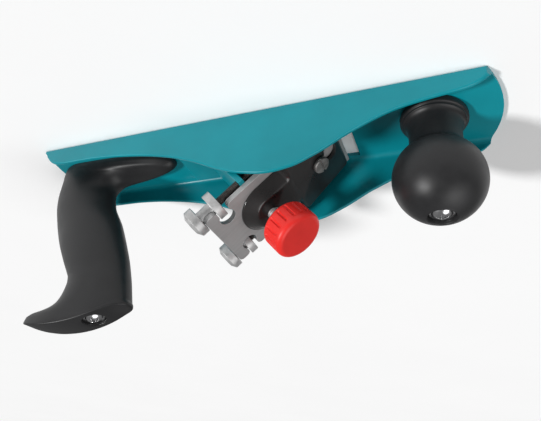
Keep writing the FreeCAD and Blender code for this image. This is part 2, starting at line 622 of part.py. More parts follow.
def make_head():
    """Crowned top of even width, with a rounded nose in front and a horn behind."""
    back = TOTE_BACK_X
    front = back + 69.6
    horn = back + 8.8
    top = TOTE_TOP
    thick = HORN_THICKNESS
    half = HEAD_HALF_WIDTH

    def at(x, z):
        return Vector(x, -30, z)

    def plan(x, y):
        return Vector(x, y, top - 25)

    side = [
        Part.makeLine(at(front - 2.9, top - 18.5), at(front, top - 9.6)),
        Part.Arc(at(front, top - 9.6), at(back + 41, top - 1.0), at(horn + 2.6, top - 1.2)).toShape(),
        Part.Arc(at(horn + 2.6, top - 1.2), at(horn, top - thick / 2 - 0.8),
                 at(horn + 2.6, top - 1.2 - thick)).toShape(),
        Part.Arc(at(horn + 2.6, top - 1.2 - thick), at(back + 24.4, top - 10.6),
                 at(back + 28.4, top - 18.5)).toShape(),
        Part.makeLine(at(back + 28.4, top - 18.5), at(front - 2.9, top - 18.5))]
    slab = Part.Face(Part.Wire(side)).extrude(Vector(0, 60, 0))
    outline = [
        Part.Arc(plan(front - 11, -half), plan(front, 0), plan(front - 11, half)).toShape(),
        Part.makeLine(plan(front - 11, half), plan(horn + 13, half)),
        Part.Arc(plan(horn + 13, half), plan(horn + 5, 0.66 * half), plan(horn, 0.2 * half)).toShape(),
        Part.makeLine(plan(horn, 0.2 * half), plan(horn, -0.2 * half)),
        Part.Arc(plan(horn, -0.2 * half), plan(horn + 5, -0.66 * half), plan(horn + 13, -half)).toShape(),
        Part.makeLine(plan(horn + 13, -half), plan(front - 11, -half))]
    plug = Part.Face(Part.Wire(outline)).extrude(Vector(0, 0, 40))
    return slab.common(plug)


def make_tote_stud():
    """Locating stud in the sole that keeps the foot from turning."""
    return rod(STUD_RADIUS, SOLE_THICKNESS + STUD_HEIGHT, Vector(stud_x(), 0, 0))


def all_parts():
    knob_axis = Vector(0, 0, 1)
    tote_axis = (tote_bolt_seat() - tote_bolt_foot()).normalize()
    return {
        "body": make_body(),
        "frog": make_frog(),
        "iron": make_iron(),
        "left_adjuster": make_adjuster(-ADJUSTER_Y),
        "right_adjuster": make_adjuster(ADJUSTER_Y),
        "lever_cap": make_lever_cap(),
        "fulcrum_screw": make_fulcrum_screw(),
        "fulcrum_nut": make_fulcrum_nut(),
        "clamp_nut": make_clamp_nut(),
        "clamp_screw": make_clamp_screw(),
        "clamp_knob": make_clamp_knob(),
        "front_knob": make_front_knob(),
        "knob_bolt": make_bolt(knob_bolt_seat(), knob_bolt_foot()),
        "knob_washer": make_washer(knob_bolt_seat() - knob_axis * WASHER_THICKNESS, knob_axis),
        "knob_insert": make_insert(knob_bolt_foot(), knob_axis),
        "tote": make_tote(),
        "tote_bolt": make_bolt(tote_bolt_seat(), tote_bolt_foot()),
        "tote_washer": make_washer(tote_bolt_seat() - tote_axis * WASHER_THICKNESS, tote_axis),
        "tote_insert": make_insert(tote_bolt_foot(), tote_axis),
        "tote_stud": make_tote_stud()}


def main():
    os.makedirs("parts", exist_ok=True)
    for name, shape in all_parts().items():
        print(name, len(shape.Solids), shape.isValid(), round(shape.Volume, 1))
        shape.exportStep("parts/" + name + ".step")


main()
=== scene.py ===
"""Looks of a pressed-steel smoothing plane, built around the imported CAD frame.

Lengths in this script are millimetres until a mesh is made, when they become metres.
Bed axes: b runs up the bed from the sole plane, n stands off the bed, y is to the left.
"""
import math

import bmesh
import bpy
import numpy as np
from bpy.props import FloatProperty, FloatVectorProperty, PointerProperty
from mathutils import Matrix, Vector


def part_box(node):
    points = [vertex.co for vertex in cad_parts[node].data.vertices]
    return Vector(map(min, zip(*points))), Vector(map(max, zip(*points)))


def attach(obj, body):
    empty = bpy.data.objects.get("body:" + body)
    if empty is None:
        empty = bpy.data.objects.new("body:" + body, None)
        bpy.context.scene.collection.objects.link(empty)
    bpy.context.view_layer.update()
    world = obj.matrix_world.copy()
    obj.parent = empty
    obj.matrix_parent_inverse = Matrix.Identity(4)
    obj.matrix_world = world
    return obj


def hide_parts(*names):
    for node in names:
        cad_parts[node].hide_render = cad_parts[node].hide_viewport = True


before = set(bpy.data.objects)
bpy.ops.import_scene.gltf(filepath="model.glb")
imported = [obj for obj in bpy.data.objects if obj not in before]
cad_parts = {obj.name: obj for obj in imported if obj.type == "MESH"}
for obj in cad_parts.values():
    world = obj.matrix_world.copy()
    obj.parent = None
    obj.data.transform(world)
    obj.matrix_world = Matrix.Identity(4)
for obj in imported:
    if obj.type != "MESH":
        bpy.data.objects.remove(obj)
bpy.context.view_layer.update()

bl_info = {
    "name": "Smoothing plane",
    "version": (1, 0, 0),
    "blender": (4, 5, 0),
    "location": "View3D > Sidebar > Plane",
    "description": "Builds the visible pieces and finishes of a pressed-steel smoothing plane",
    "category": "Add Mesh",
}

MM = 0.001
SQ = math.sqrt(0.5)
UP_BED = np.array([-SQ, 0.0, SQ])
OFF_BED = np.array([SQ, 0.0, SQ])
LEFT = np.array([0.0, 1.0, 0.0])


def box_mm(node):
    """Lowest and highest corner of a CAD node, in millimetres."""
    low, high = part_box(node)
    return np.array(low) / MM, np.array(high) / MM


IRON_THICKNESS = 2.5
IRON_LOW, IRON_HIGH = box_mm("iron")
BODY_LOW, BODY_HIGH = box_mm("body")
KNOB_LOW, KNOB_HIGH = box_mm("front_knob")
BED_FOOT_X = IRON_LOW[0] + IRON_HIGH[2] - SQ * IRON_THICKNESS
KNOB_X = (KNOB_LOW[0] + KNOB_HIGH[0]) / 2


# ---------------------------------------------------------------- surfaces

def smooth_through(x, knots, values):
    """Monotone cubic through the knots: the slope at a knot is the weighted harmonic mean
    of the slopes on its two sides, and zero where they have opposite signs."""
    knots = np.asarray(knots, float)
    values = np.asarray(values, float)
    step = np.diff(knots)
    slope = np.diff(values) / step
    same = slope[:-1] * slope[1:] > 0
    left = np.where(same, slope[:-1], 1.0)
    right = np.where(same, slope[1:], 1.0)
    w1 = 2 * step[1:] + step[:-1]
    w2 = step[1:] + 2 * step[:-1]
    tangent = np.zeros_like(values)
    tangent[1:-1] = np.where(same, (w1 + w2) / (w1 / left + w2 / right), 0.0)
    tangent[0] = slope[0]
    tangent[-1] = slope[-1]
    i = np.clip(np.searchsorted(knots, x, side="right") - 1, 0, len(step) - 1)
    t = (x - knots[i]) / step[i]
    h00 = (1 + 2 * t) * (1 - t) ** 2
    h10 = t * (1 - t) ** 2
    h01 = t * t * (3 - 2 * t)
    h11 = t * t * (t - 1)
    return (h00 * values[i] + h10 * step[i] * tangent[i]
            + h01 * values[i + 1] + h11 * step[i] * tangent[i + 1])


def ease(x, low, high):
    """Smooth step: 0 below low, 1 above high, 3t^2 - 2t^3 between."""
    t = np.clip((x - low) / (high - low), 0.0, 1.0)
    return t * t * (3 - 2 * t)


class Skin:
    """Gathers grids of points in millimetres and joins them into one mesh."""

    def __init__(self):
        self.points = []
        self.faces = []
        self.count = 0

    def grid(self, points, wrap=False, keep=None):
        """Quads between neighbouring rows and columns; wrap joins the last column to the first."""
        rows, columns = points.shape[:2]
        index = self.count + np.arange(rows * columns).reshape(rows, columns)
        self.points.append(points.reshape(-1, 3))
        self.count += rows * columns
        table = np.hstack([index, index[:, :1]]) if wrap else index
        quads = np.stack([table[:-1, :-1], table[:-1, 1:], table[1:, 1:], table[1:, :-1]], -1)
        self.faces.append(quads[keep] if keep is not None else quads.reshape(-1, 4))
        return index

    def join(self, first, second):
        """A strip of quads between two equally long rows of point numbers."""
        self.faces.append(np.stack([first[:-1], first[1:], second[1:], second[:-1]], -1))

    def lid(self, ring):
        """One many-sided face over a closed row of point numbers."""
        self.faces.append(np.asarray(ring)[None, :])

    def build(self, name, sharp=38.0, weld=2e-6):
        """Makes the object: doubles welded, faces turned outwards, creases kept sharp."""
        mesh = bpy.data.meshes.new(name)
        faces = [face for block in self.faces for face in block.tolist()]
        mesh.from_pydata((np.concatenate(self.points) * MM).tolist(), [], faces)
        work = bmesh.new()
        work.from_mesh(mesh)
        bmesh.ops.remove_doubles(work, verts=work.verts, dist=weld)
        bmesh.ops.dissolve_degenerate(work, edges=work.edges, dist=weld)
        bmesh.ops.recalc_face_normals(work, faces=work.faces)
        work.to_mesh(mesh)
        work.free()
        mesh.shade_smooth()
        mesh.set_sharp_from_angle(angle=math.radians(sharp))
        piece = bpy.data.objects.new(name, mesh)
        bpy.context.collection.objects.link(piece)
        return piece


def turned(profile, origin, axis, across, turns=96, ripple=None):
    """Surface of revolution: each (radius, height) of the profile goes round the axis.
    ripple(angle, row) multiplies the radius, for flutes."""
    axis = np.asarray(axis, float)
    across = np.asarray(across, float)
    third = np.cross(axis, across)
    profile = np.asarray(profile, float)
    angle = np.linspace(0, 2 * np.pi, turns, endpoint=False)
    radius = profile[:, :1] * np.ones((1, turns))
    if ripple is not None:
        radius = radius * ripple(angle[None, :], profile)
    ring = np.cos(angle)[None, :, None] * across + np.sin(angle)[None, :, None] * third
    return np.asarray(origin) + radius[..., None] * ring + profile[:, 1][:, None, None] * axis


def arc(centre, radius, start, end, count):
    """Points on a circle between two angles in degrees, as (radius, height) pairs."""
    angle = np.radians(np.linspace(start, end, count))
    return np.stack([centre[0] + radius * np.cos(angle), centre[1] + radius * np.sin(angle)], -1)


def bed_point(b, n, y):
    """A point given in bed axes, in the object's axes."""
    b, n, y = np.broadcast_arrays(np.asarray(b, float), n, y)
    foot = np.array([BED_FOOT_X, 0.0, 0.0])
    return foot + b[..., None] * UP_BED + n[..., None] * OFF_BED + y[..., None] * LEFT


# ---------------------------------------------------------------- body

WALL = 1.8
SHEET = 2.0
BEND = 2.8
OUTER_BEND = 1.2
SOLE_LIFT = 0.03             # keeps the flush stud and bush ends in front of the sole's paint
MOUTH = (46.66, 53.76)
MOUTH_HALF = 18.8
WAVE = ((-113.1, 2.0), (-110.4, 5.6), (-106.3, 8.96), (-101.5, 10.8), (-96, 11.2), (-82, 11.25),
        (-70, 11.9), (-50, 14.3), (-30, 18.5), (-15, 23.6), (0, 30.4), (12, 34.3), (24, 36.0),
        (34, 34.6), (45, 29.9), (60, 21.1), (78, 13.55), (92, 10.9), (100, 9.9), (104.5, 8.85),
        (109.3, 6.3), (111.4, 3.9), (112.3, 2.0))


def body_section(height):
    """Half of the pressing's section at each wall height, from the middle of the underside
    out round the lower edge, up the wall, over its rounded top, and back along the floor.
    Also gives the columns that run along the mouth's lower and upper edges."""
    half = BODY_HIGH[1]
    inner = half - WALL
    level = np.ones_like(height)
    edge = 0.62
    top_in = np.minimum(edge, (height - SHEET) / 2)
    flat = np.array([0, 3, 6, 9, 12, 15, inner - BEND, MOUTH_HALF, 20.3])
    ys = [level * y for y in flat]
    zs = [level * SOLE_LIFT for _ in flat]
    for y, z in arc((half - OUTER_BEND, OUTER_BEND + SOLE_LIFT), OUTER_BEND, -90, 0, 6):
        ys.append(level * y)
        zs.append(level * z)
    low = OUTER_BEND + SOLE_LIFT
    for part in np.linspace(0, 1, 12)[1:-1]:
        ys.append(level * half)
        zs.append(low + (height - edge - low) * part)
    for dy, dz in arc((0, 0), 1.0, 0, 90, 5):
        ys.append(half - edge + edge * dy * level)
        zs.append(height - edge + edge * dz * level)
    drop = np.clip((BEND + SHEET - (height - top_in)) / BEND, 0, 1)
    turn = np.arccos(drop)
    wall_y = inner - BEND + BEND * np.sin(turn)
    for dy, dz in arc((0, 0), 1.0, 90, 180, 5):
        ys.append(np.minimum(wall_y + top_in * (1 + dy), half - edge))
        zs.append(height - top_in + top_in * dz)
    bottom = SHEET + BEND - BEND * np.cos(turn)
    for part in np.linspace(0, 1, 10)[1:-1]:
        ys.append(wall_y)
        zs.append(height - top_in + (bottom - height + top_in) * part)
    mouth_turn = math.asin((MOUTH_HALF - (inner - BEND)) / BEND) / (math.pi / 2)
    for part in (1, 0.87, 0.74, 0.61, 0.48, 0.35, 0.22, mouth_turn, 0):
        ys.append(inner - BEND + BEND * np.sin(turn * part))
        zs.append(SHEET + BEND - BEND * np.cos(turn * part))
    for y in flat[5::-1]:
        ys.append(level * y)
        zs.append(level * SHEET)
    mouth_under, mouth_over = len(flat) - 2, len(ys) - 8
    return np.stack(ys, -1), np.stack(zs, -1), mouth_under, mouth_over


def make_body_skin():
    """Grid of sections along the body; both ends are bowed in plan and their rims rounded."""
    toe, heel = BODY_HIGH[0], BODY_LOW[0]
    toe_bow, heel_bow, rim = 6.2, 3.6, 0.5
    toe_corner, heel_corner = toe - toe_bow - rim, heel + heel_bow + rim
    x = np.concatenate([
        np.linspace(heel_corner, -90, 34), np.linspace(-88, MOUTH[0], 68),
        np.linspace(MOUTH[0], MOUTH[1], 5)[1:], np.linspace(MOUTH[1], 90, 22)[1:],
        np.linspace(91, toe_corner, 36)])
    knots, heights = np.array(WAVE).T
    height = np.maximum(smooth_through(np.clip(x, knots[0], knots[-1]), knots, heights), SHEET)
    y, z, low_column, high_column = body_section(height)
    half = BODY_HIGH[1]
    bow = 1 - (y / half) ** 2
    reach = 34.0
    weight_toe = ease(x, toe_corner - reach, toe_corner)[:, None]
    weight_heel = ease(-x, -heel_corner - reach, -heel_corner)[:, None]
    along = x[:, None] + bow * (toe_bow * weight_toe - heel_bow * weight_heel)
    rows = [(along, y, z)]
    for side, last in ((1, -1), (-1, 0)):
        extra = []
        for angle in np.radians((30, 60, 90)):
            inset = rim * (1 - math.cos(angle))
            end_x = along[last] + side * rim * math.sin(angle)
            top = height[last] - inset
            extra.append((end_x, np.minimum(y[last], half - inset),
                          np.clip(z[last], SOLE_LIFT + inset, top)))
        block = tuple(np.array([row[k] for row in extra]) for k in range(3))
        if side > 0:
            rows.append(block)
        else:
            rows.insert(0, tuple(part[::-1] for part in block))
    along, y, z = (np.concatenate([block[k] for block in rows]) for k in range(3))
    skin = Skin()
    centre = along[:, 0]
    inside = (centre[:-1] > MOUTH[0] - 0.01) & (centre[1:] < MOUTH[1] + 0.01)
    first, last = np.flatnonzero(inside)[[0, -1]]
    columns = np.arange(y.shape[1] - 1)
    floor = (columns < low_column) | (columns >= high_column)
    keep = ~(inside[:, None] & floor[None, :])
    for side in (1, -1):
        index = skin.grid(np.stack([along, side * y, z], -1), keep=keep)
        under = index[first:last + 2, low_column]
        over = index[first:last + 2, high_column]
        skin.join(under, over)
        for row in (first, last + 1):
            skin.join(index[row, :low_column + 1], index[row, :high_column - 1:-1])
        for row in (0, -1):
            skin.join(index[row, :low_column + 1], index[row, :high_column - 1:-1])
            skin.lid(index[row, low_column:high_column + 1])
    return skin.build("pressed_body")


# ---------------------------------------------------------------- handles

KNOB_BOLT_HOLE = 2.7
KNOB_BUSH_HOLE = 4.75
KNOB_RING = 13.3
PROFILE_STEP = 1.6


def dome_recess(radius, lip_z, depth, lip=0.6):
    """Profile rows of a round recess: rounded lip, wall, flat floor and the bolt's hole."""
    rows = arc((radius + lip, lip_z - lip), lip, 90, 180, 5)
    floor = lip_z - depth
    return np.vstack([rows, [(radius, floor + 0.4), (radius - 0.4, floor),
                             (KNOB_BOLT_HOLE, floor), (KNOB_BOLT_HOLE, floor - 6)]])


def make_front_knob():
    """Profile turned about the knob's bolt: stepped base ring, waist and ball with a recess."""
    base = KNOB_LOW[2]
    ball_r, ball_z = 18.45, 34.75
    neck = 11.0
    waist = [(11.9, base + 5.4), (11.25, base + 7.6), (10.85, base + 11),
             (10.85, base + 14.5), (neck, base + 17)]
    join_angle = -math.degrees(math.acos(neck / ball_r))
    lip_r = 5.45
    top_angle = math.degrees(math.acos((lip_r + 0.6) / ball_r))
    ball = arc((0, ball_z), ball_r, join_angle + 2.5, top_angle - 0.6, 56)
    lip_z = ball_z + ball_r * math.sin(math.radians(top_angle)) + 0.05
    profile = np.vstack([
        [(KNOB_BUSH_HOLE, base), (KNOB_RING, base)], arc((13.35, base + 0.9), 0.9, -90, 0, 5),
        arc((13.45, base + 2.6), 0.75, 0, 70, 5), [(KNOB_RING, base + 3.7)],
        arc((12.95, base + 4.15), 0.35, -20, 80, 4), waist, ball, dome_recess(lip_r, lip_z, 2.9)])
    fine = [profile[:1]]
    for start, end in zip(profile[:-1], profile[1:]):
        count = max(1, int(np.ceil(np.hypot(*(end - start)) / PROFILE_STEP)))
        fine.append(start + (end - start) * np.linspace(0, 1, count + 1)[1:, None])
    profile = np.vstack(fine)
    skin = Skin()
    points = turned(profile, (KNOB_X, 0, 0), (0, 0, 1), (1, 0, 0), turns=128)
    index = skin.grid(points, wrap=True)
    skin.lid(index[0])
    skin.lid(index[-1])
    return skin.build("front_knob_skin", sharp=50)


# Rings of the tote, from the foot up: height, place of the front and back points, place and
# height of the widest points, half width, the powers that make each half blunt or pointed,
# and how far the ring stays below the head's crown.
TOTE_RINGS = (
    # front z, front x, back z, back x, side x, side z, half width, front power, back power, gap
    (2.0, -42.6, 2.0, -115.4, -100, 2.0, 10.6, 0.78, 1.0, 50),
    (3.0, -41.9, 3.0, -116.2, -100, 3.0, 10.8, 0.80, 1.0, 50),
    (4.5, -42.2, 4.6, -116.3, -100, 4.4, 10.8, 0.85, 1.0, 50),
    (6.3, -43.9, 6.2, -116.3, -100, 5.8, 10.7, 0.95, 1.0, 50),
    (7.5, -47.0, 8.0, -116.2, -100, 7.0, 10.6, 1.0, 1.0, 50),
    (8.1, -53.0, 9.6, -116.0, -99.7, 8.0, 10.6, 1.06, 1.0, 50),
    (8.5, -61.0, 11.4, -115.8, -99.3, 9.4, 10.6, 1.12, 1.0, 50),
    (9.7, -69.0, 13.2, -115.6, -99.0, 11.6, 10.7, 1.12, 1.0, 50),
    (12.2, -75.2, 15.8, -115.3, -98.4, 15.2, 10.8, 1.06, 1.0, 50),
    (17.6, -78.4, 19.6, -115.0, -97.4, 19.2, 10.9, 1.0, 1.0, 40),
    (26.0, -75.9, 27.0, -113.2, -94.6, 27.0, 11.1, 1.0, 1.0, 40),
    (38.5, -67.4, 38.0, -108.5, -87.5, 38.0, 11.2, 1.0, 1.0, 30),
    (50.0, -60.9, 49.6, -102.1, -81.3, 50.0, 11.0, 1.0, 1.0, 26),
    (60.8, -55.5, 60.0, -95.0, -75.4, 60.5, 10.4, 0.96, 1.0, 20),
    (68.0, -52.6, 66.4, -90.2, -72.0, 67.0, 9.7, 0.9, 1.0, 15),
    (72.0, -51.1, 69.6, -88.0, -70.8, 70.8, 9.4, 0.86, 1.0, 11),
    (75.5, -49.9, 73.4, -87.3, -70.5, 75.0, 9.1, 0.82, 0.98, 7.6),
    (79.0, -48.7, 78.6, -88.0, -71.5, 79.0, 8.9, 0.78, 0.96, 4.6),
    (81.2, -47.9, 82.6, -89.8, -73.0, 82.6, 8.8, 0.75, 0.94, 3.2),
    (82.2, -47.4, 85.2, -93.4, -74.5, 85.2, 8.7, 0.735, 0.91, 2.4),
    (82.8, -47.1, 86.6, -98.4, -75.5, 87.4, 8.65, 0.725, 0.88, 1.9),
    (83.1, -46.9, 87.6, -103.4, -76.0, 89.2, 8.6, 0.72, 0.86, 1.5),
    (83.3, -46.8, 89.4, -106.8, -76.0, 90.8, 8.6, 0.72, 0.85, 1.1))
CROWN_X = (-108, -104, -97, -90, -83, -75, -67, -60, -53, -47, -44)
CROWN_Z = (92.2, 93.3, 94.3, 94.6, 94.25, 93.2, 91.2, 88.7, 85.8, 84.2, 83.2)
HEAD_MIDDLE = -76.0
HEAD_TIPS = (-46.7, -107.5)
HEAD_POWERS = (0.72, 0.85)
# Rings that round the head's rim: half width, drop below the crown, distance in from the tips.
HEAD_RIM = ((8.6, 0.7, 0.0), (8.5, 0.3, 0.1), (8.25, 0.06, 0.35), (7.9, 0.0, 0.7))
HEAD_GAP = 8                 # rings nearer to the crown than this take the head's blunter back


def crown(x):
    """Height of the head's top along its middle line."""
    return smooth_through(x, CROWN_X, CROWN_Z)


def ring_outline(c, s, middle, front, back, half, front_power, back_power):
    """Plan of a ring: x runs with a power of the angle's cosine, y with a power of its sine."""
    ahead = c >= 0
    power = np.where(ahead, front_power, back_power)
    x = middle + np.where(ahead, front - middle, back - middle) * np.abs(c) ** power
    return x, half * np.sign(s) * np.abs(s) ** power


def tote_rings(angle, steps=7):
    """Stack of closed rings from the foot to the rim of the head; the height runs from the side
    value to the front or back value with the squared cosine, and stays below the crown."""
    table = np.array(TOTE_RINGS)
    rows = np.arange(len(table))
    fine = np.linspace(0, len(table) - 1, (len(table) - 1) * steps + 1)
    values = np.stack([smooth_through(fine, rows, column) for column in table.T], -1)
    front_z, front_x, back_z, back_x, side_x, side_z, half, front_power, back_power, gap = (
        values[:, k, None] for k in range(10))
    c, s = np.cos(angle)[None, :], np.sin(angle)[None, :]
    blunt = np.where(gap > HEAD_GAP, 1.0, back_power)
    x, y = ring_outline(c, s, side_x, front_x, back_x, half, front_power, blunt)
    z = side_z + np.where(c >= 0, front_z - side_z, back_z - side_z) * c * c
    rings = np.stack([x, y, np.minimum(z, crown(x) - gap)], -1)
    rim = []
    for half, drop, inset in HEAD_RIM:
        x, y = ring_outline(c[0], s[0], HEAD_MIDDLE, HEAD_TIPS[0] - inset, HEAD_TIPS[1] + inset,
                            half, *HEAD_POWERS)
        rim.append(np.stack([x, y, crown(x) - drop], -1))
    return np.concatenate([rings, np.array(rim)])


def make_tote():
    """Rings up the foot, grip and head, then rings that close on the recess in the crowned top."""
    angle = np.linspace(0, 2 * np.pi, 144, endpoint=False)
    rings = tote_rings(angle)
    washer = np.mean(box_mm("tote_washer"), 0)
    insert = np.mean(box_mm("tote_insert"), 0)
    foot = np.array([insert[0], 0.0, 3.0])
    axis = (washer - foot) / np.linalg.norm(washer - foot)
    across = np.cross(LEFT, axis)
    circle = np.cos(angle)[:, None] * across + np.sin(angle)[:, None] * LEFT
    bore_r, bolt_r = 5.5, 2.75

    def on_crown(radius, sink):
        """A circle about the bolt, moved along it on to the crown and then sunk into it."""
        ring = washer + circle * radius
        for _ in range(6):
            ring = ring + ((crown(ring[:, 0]) - ring[:, 2]) / axis[2])[:, None] * axis
        return ring - axis * sink

    rim, lip = rings[-1], on_crown(bore_r + 0.45, 0.0)
    weight = np.linspace(0, 1, 15)[1:, None, None]
    top = rim[None] * (1 - weight) + lip[None] * weight
    top[..., 2] = crown(top[..., 0])
    seat = washer + axis * 0.4
    well = [on_crown(bore_r + 0.15, 0.08), on_crown(bore_r, 0.4)]
    well += [seat + circle * radius - axis * 0.02 for radius in (bore_r, bolt_r)]
    skin = Skin()
    index = skin.grid(np.concatenate([rings, top, np.array(well)]), wrap=True)
    skin.lid(index[0])
    skin.lid(index[-1])
    return skin.build("tote_skin", sharp=50)


# ---------------------------------------------------------------- lever cap

CAP_FRONT = 5.25
CAP_PLATE_BACK = 36.25
CAP_END = 63.65
DOME_HALF = 13.6
DOME_FLAT = 8.4
CAP_HALF = 17.5
CAP_UNDER = 2.6
CAP_SHEET = 1.6
CAP_CORNER = 1.4
CAP_SHOULDER = 2.6
RAMP_RISE = 3.9
DOME_TOP = 8.2
DOME_FOOT = 3.45
KEY_EYE = 12.8
KEY_EYE_R = 4.4
KEY_END = 19.8
KEY_SLOT = 2.7


def cap_half_width(b):
    """Half width of the cap: plate, rounded shoulder, then the dome's sides and round end."""
    centre = CAP_END - DOME_HALF
    dome = np.sqrt(np.clip(DOME_HALF ** 2 - np.clip(b - centre, 0, DOME_HALF) ** 2, 0, None))
    over = np.clip(b - (CAP_PLATE_BACK - CAP_SHOULDER + 0.4), 0, CAP_SHOULDER)
    plate = CAP_HALF - CAP_SHOULDER + np.sqrt(CAP_SHOULDER ** 2 - over ** 2)
    plate = np.where(b > CAP_PLATE_BACK + 0.39, 0, plate)
    front = np.clip(CAP_CORNER - (b - CAP_FRONT), 0, CAP_CORNER)
    plate = plate - CAP_CORNER + np.sqrt(CAP_CORNER ** 2 - front ** 2)
    return np.maximum(dome, plate)


def keyhole_half_width(b):
    """Half width of the keyhole: a round eye, a straight slot and its round end."""
    round_eye = np.sqrt(np.clip(KEY_EYE_R ** 2 - (b - KEY_EYE) ** 2, 0, None))
    straight = np.where((b > KEY_EYE) & (b <= KEY_END), KEY_SLOT, 0)
    bow = np.sqrt(np.clip(KEY_SLOT ** 2 - (b - KEY_END) ** 2, 0, None))
    round_end = np.where(b > KEY_END, bow, 0)
    return np.maximum(np.maximum(round_eye, straight), round_end)


def cap_top(b, y):
    """Height of the cap's top: a ramp in front, and a dome that falls off evenly from its flat."""
    ramp = CAP_UNDER + CAP_SHEET + RAMP_RISE * (b - CAP_FRONT) / (CAP_PLATE_BACK - CAP_FRONT)
    nose = 0.9 * np.clip(1 - (b - CAP_FRONT) / 1.5, 0, 1) ** 2
    centre = CAP_END - DOME_HALF
    away = np.hypot(np.clip(b - centre, 0, None), y)
    soft = np.sqrt((away - DOME_FLAT) ** 2 + 0.7) - 0.15
    fall = np.where(away > DOME_FLAT - 3, (soft + away - DOME_FLAT) / 2, 0) * 0.98
    dome = DOME_TOP + 0.12 - np.minimum(fall, DOME_TOP - DOME_FOOT)
    blend = ease(b, CAP_PLATE_BACK - 1.3, CAP_PLATE_BACK + 1.6)
    return (ramp - nose) * (1 - blend) + dome * blend


def make_lever_cap():
    """Two mirrored grids between the keyhole and the outline, on the top and a sheet's thickness
    below it, joined round the outline and round the keyhole."""
    eye_low, slot_end = KEY_EYE - KEY_EYE_R, KEY_END + KEY_SLOT
    front = CAP_FRONT + CAP_CORNER * (1 - np.cos(np.linspace(0, np.pi / 2, 6)))
    eye = KEY_EYE - KEY_EYE_R * np.cos(np.linspace(0, np.pi / 2, 12))
    slot = np.linspace(KEY_EYE, KEY_END, 18)[1:]
    slot_round = KEY_END + KEY_SLOT * np.sin(np.linspace(0, np.pi / 2, 10))[1:]
    plate = np.linspace(slot_end, CAP_PLATE_BACK - 3, 12)[1:]
    shoulder = np.linspace(CAP_PLATE_BACK - 3, CAP_PLATE_BACK + 2.2, 28)[1:]
    dome = np.linspace(CAP_PLATE_BACK + 2.2, CAP_END - DOME_HALF, 14)[1:]
    end = CAP_END - DOME_HALF + DOME_HALF * np.sin(np.linspace(0, np.pi / 2, 26))[1:]
    b = np.concatenate([front, np.linspace(front[-1], eye_low, 4)[1:-1], eye, slot, slot_round,
                        plate, shoulder, dome, end])
    inner = keyhole_half_width(b)[:, None]
    outer = cap_half_width(b)[:, None]
    across = np.linspace(0, 1, 34)[None, :]
    y = inner + (outer - inner) * across
    rows = b[:, None] * np.ones_like(y)
    top = cap_top(rows, y)
    edge = 0.35 * np.clip(1 - (outer - y) / 0.45, 0, 1) ** 2
    bottom = np.maximum(top - CAP_SHEET, CAP_UNDER + 0.05)
    top = top - edge
    bottom = np.minimum(bottom, top - 0.25)
    skin = Skin()
    open_rows = inner[:, 0] > 1e-6
    for side in (1, -1):
        above = skin.grid(bed_point(rows, top, side * y))
        below = skin.grid(bed_point(rows, bottom, side * y))
        skin.join(above[:, -1], below[:, -1])
        skin.join(above[0], below[0])
        hole = np.flatnonzero(open_rows)
        first, last = hole[0] - 1, hole[-1] + 2
        skin.join(above[first:last, 0], below[first:last, 0])
    return skin.build("lever_cap_skin", sharp=42)


# ---------------------------------------------------------------- screws and knobs

def threaded(skin, origin, axis, across, radius, length, pitch, depth, turns=32, per_turn=8):
    """Helical thread: the radius falls with the distance, in turns, from the nearest crest."""
    third = np.cross(axis, across)
    rows = int(length / pitch * per_turn)
    along = np.linspace(0, length, rows)[:, None]
    angle = np.linspace(0, 2 * np.pi, turns, endpoint=False)[None, :]
    phase = (along / pitch - angle / (2 * np.pi)) % 1.0
    groove = 1 - np.abs(2 * phase - 1)
    taper = np.clip(np.minimum(along, length - along) / (pitch * 0.8), 0, 1)
    r = radius - depth * np.clip(groove * 1.3 - 0.15, 0, 1) * taper
    ring = np.cos(angle)[..., None] * across + np.sin(angle)[..., None] * third
    point = np.asarray(origin) + along[..., None] * axis + r[..., None] * ring
    index = skin.grid(point, wrap=True)
    skin.lid(index[0])
    skin.lid(index[-1])


def disc_profile(radius, low, high, round_low, round_high, chamfer=0.0, inset=0.0):
    """Profile of a turned disc: rounded lower rim and a rounded or chamfered upper one."""
    rows = [[(0.0, low)], arc((radius - round_low, low + round_low), round_low, -90, 0, 5)]
    if chamfer:
        rows += [[(radius, high - chamfer), (radius - 0.25, high - chamfer + 0.22)]]
        rows += [arc((radius - inset - 0.5, high - 0.35), 0.35, 30, 90, 4)]
    else:
        rows += [arc((radius - round_high, high - round_high), round_high, 0, 90, 5)]
    rows += [[(0.0, high)]]
    return np.vstack(rows)


SHANK_TOP = 65.95
SHANK_LENGTH = 21.0
SHANK_R = 1.98
SHANK_PITCH = 0.7
SHANK_GROOVE = 0.38
SCREW_BELOW_BED = 3.1
FLANGE_R = 6.5
HUB_R = 3.0
CLAMP_AT = 50.7              # place of the clamp's axis up the bed


def make_adjuster(node):
    """One adjusting screw: threaded shank, lower flange, hub and chamfered upper flange."""
    low, high = box_mm(node)
    origin = bed_point(0.0, -SCREW_BELOW_BED, (low[1] + high[1]) / 2)
    lower, lower_top = SHANK_TOP, SHANK_TOP + 3.8
    upper, upper_top = 76.55, 81.55
    skin = Skin()
    for profile in (disc_profile(FLANGE_R, lower, lower_top, 0.35, 0.35),
                    disc_profile(HUB_R, lower_top - 0.5, upper + 0.5, 0.1, 0.1),
                    disc_profile(FLANGE_R, upper, upper_top, 0.35, 0.3, chamfer=1.5, inset=2.0)):
        skin.grid(turned(profile, origin, UP_BED, LEFT, turns=72), wrap=True)
    threaded(skin, origin + UP_BED * (lower - SHANK_LENGTH), UP_BED, LEFT, SHANK_R,
             SHANK_LENGTH + 0.2, SHANK_PITCH, SHANK_GROOVE)
    return skin.build(node + "_skin", sharp=32)


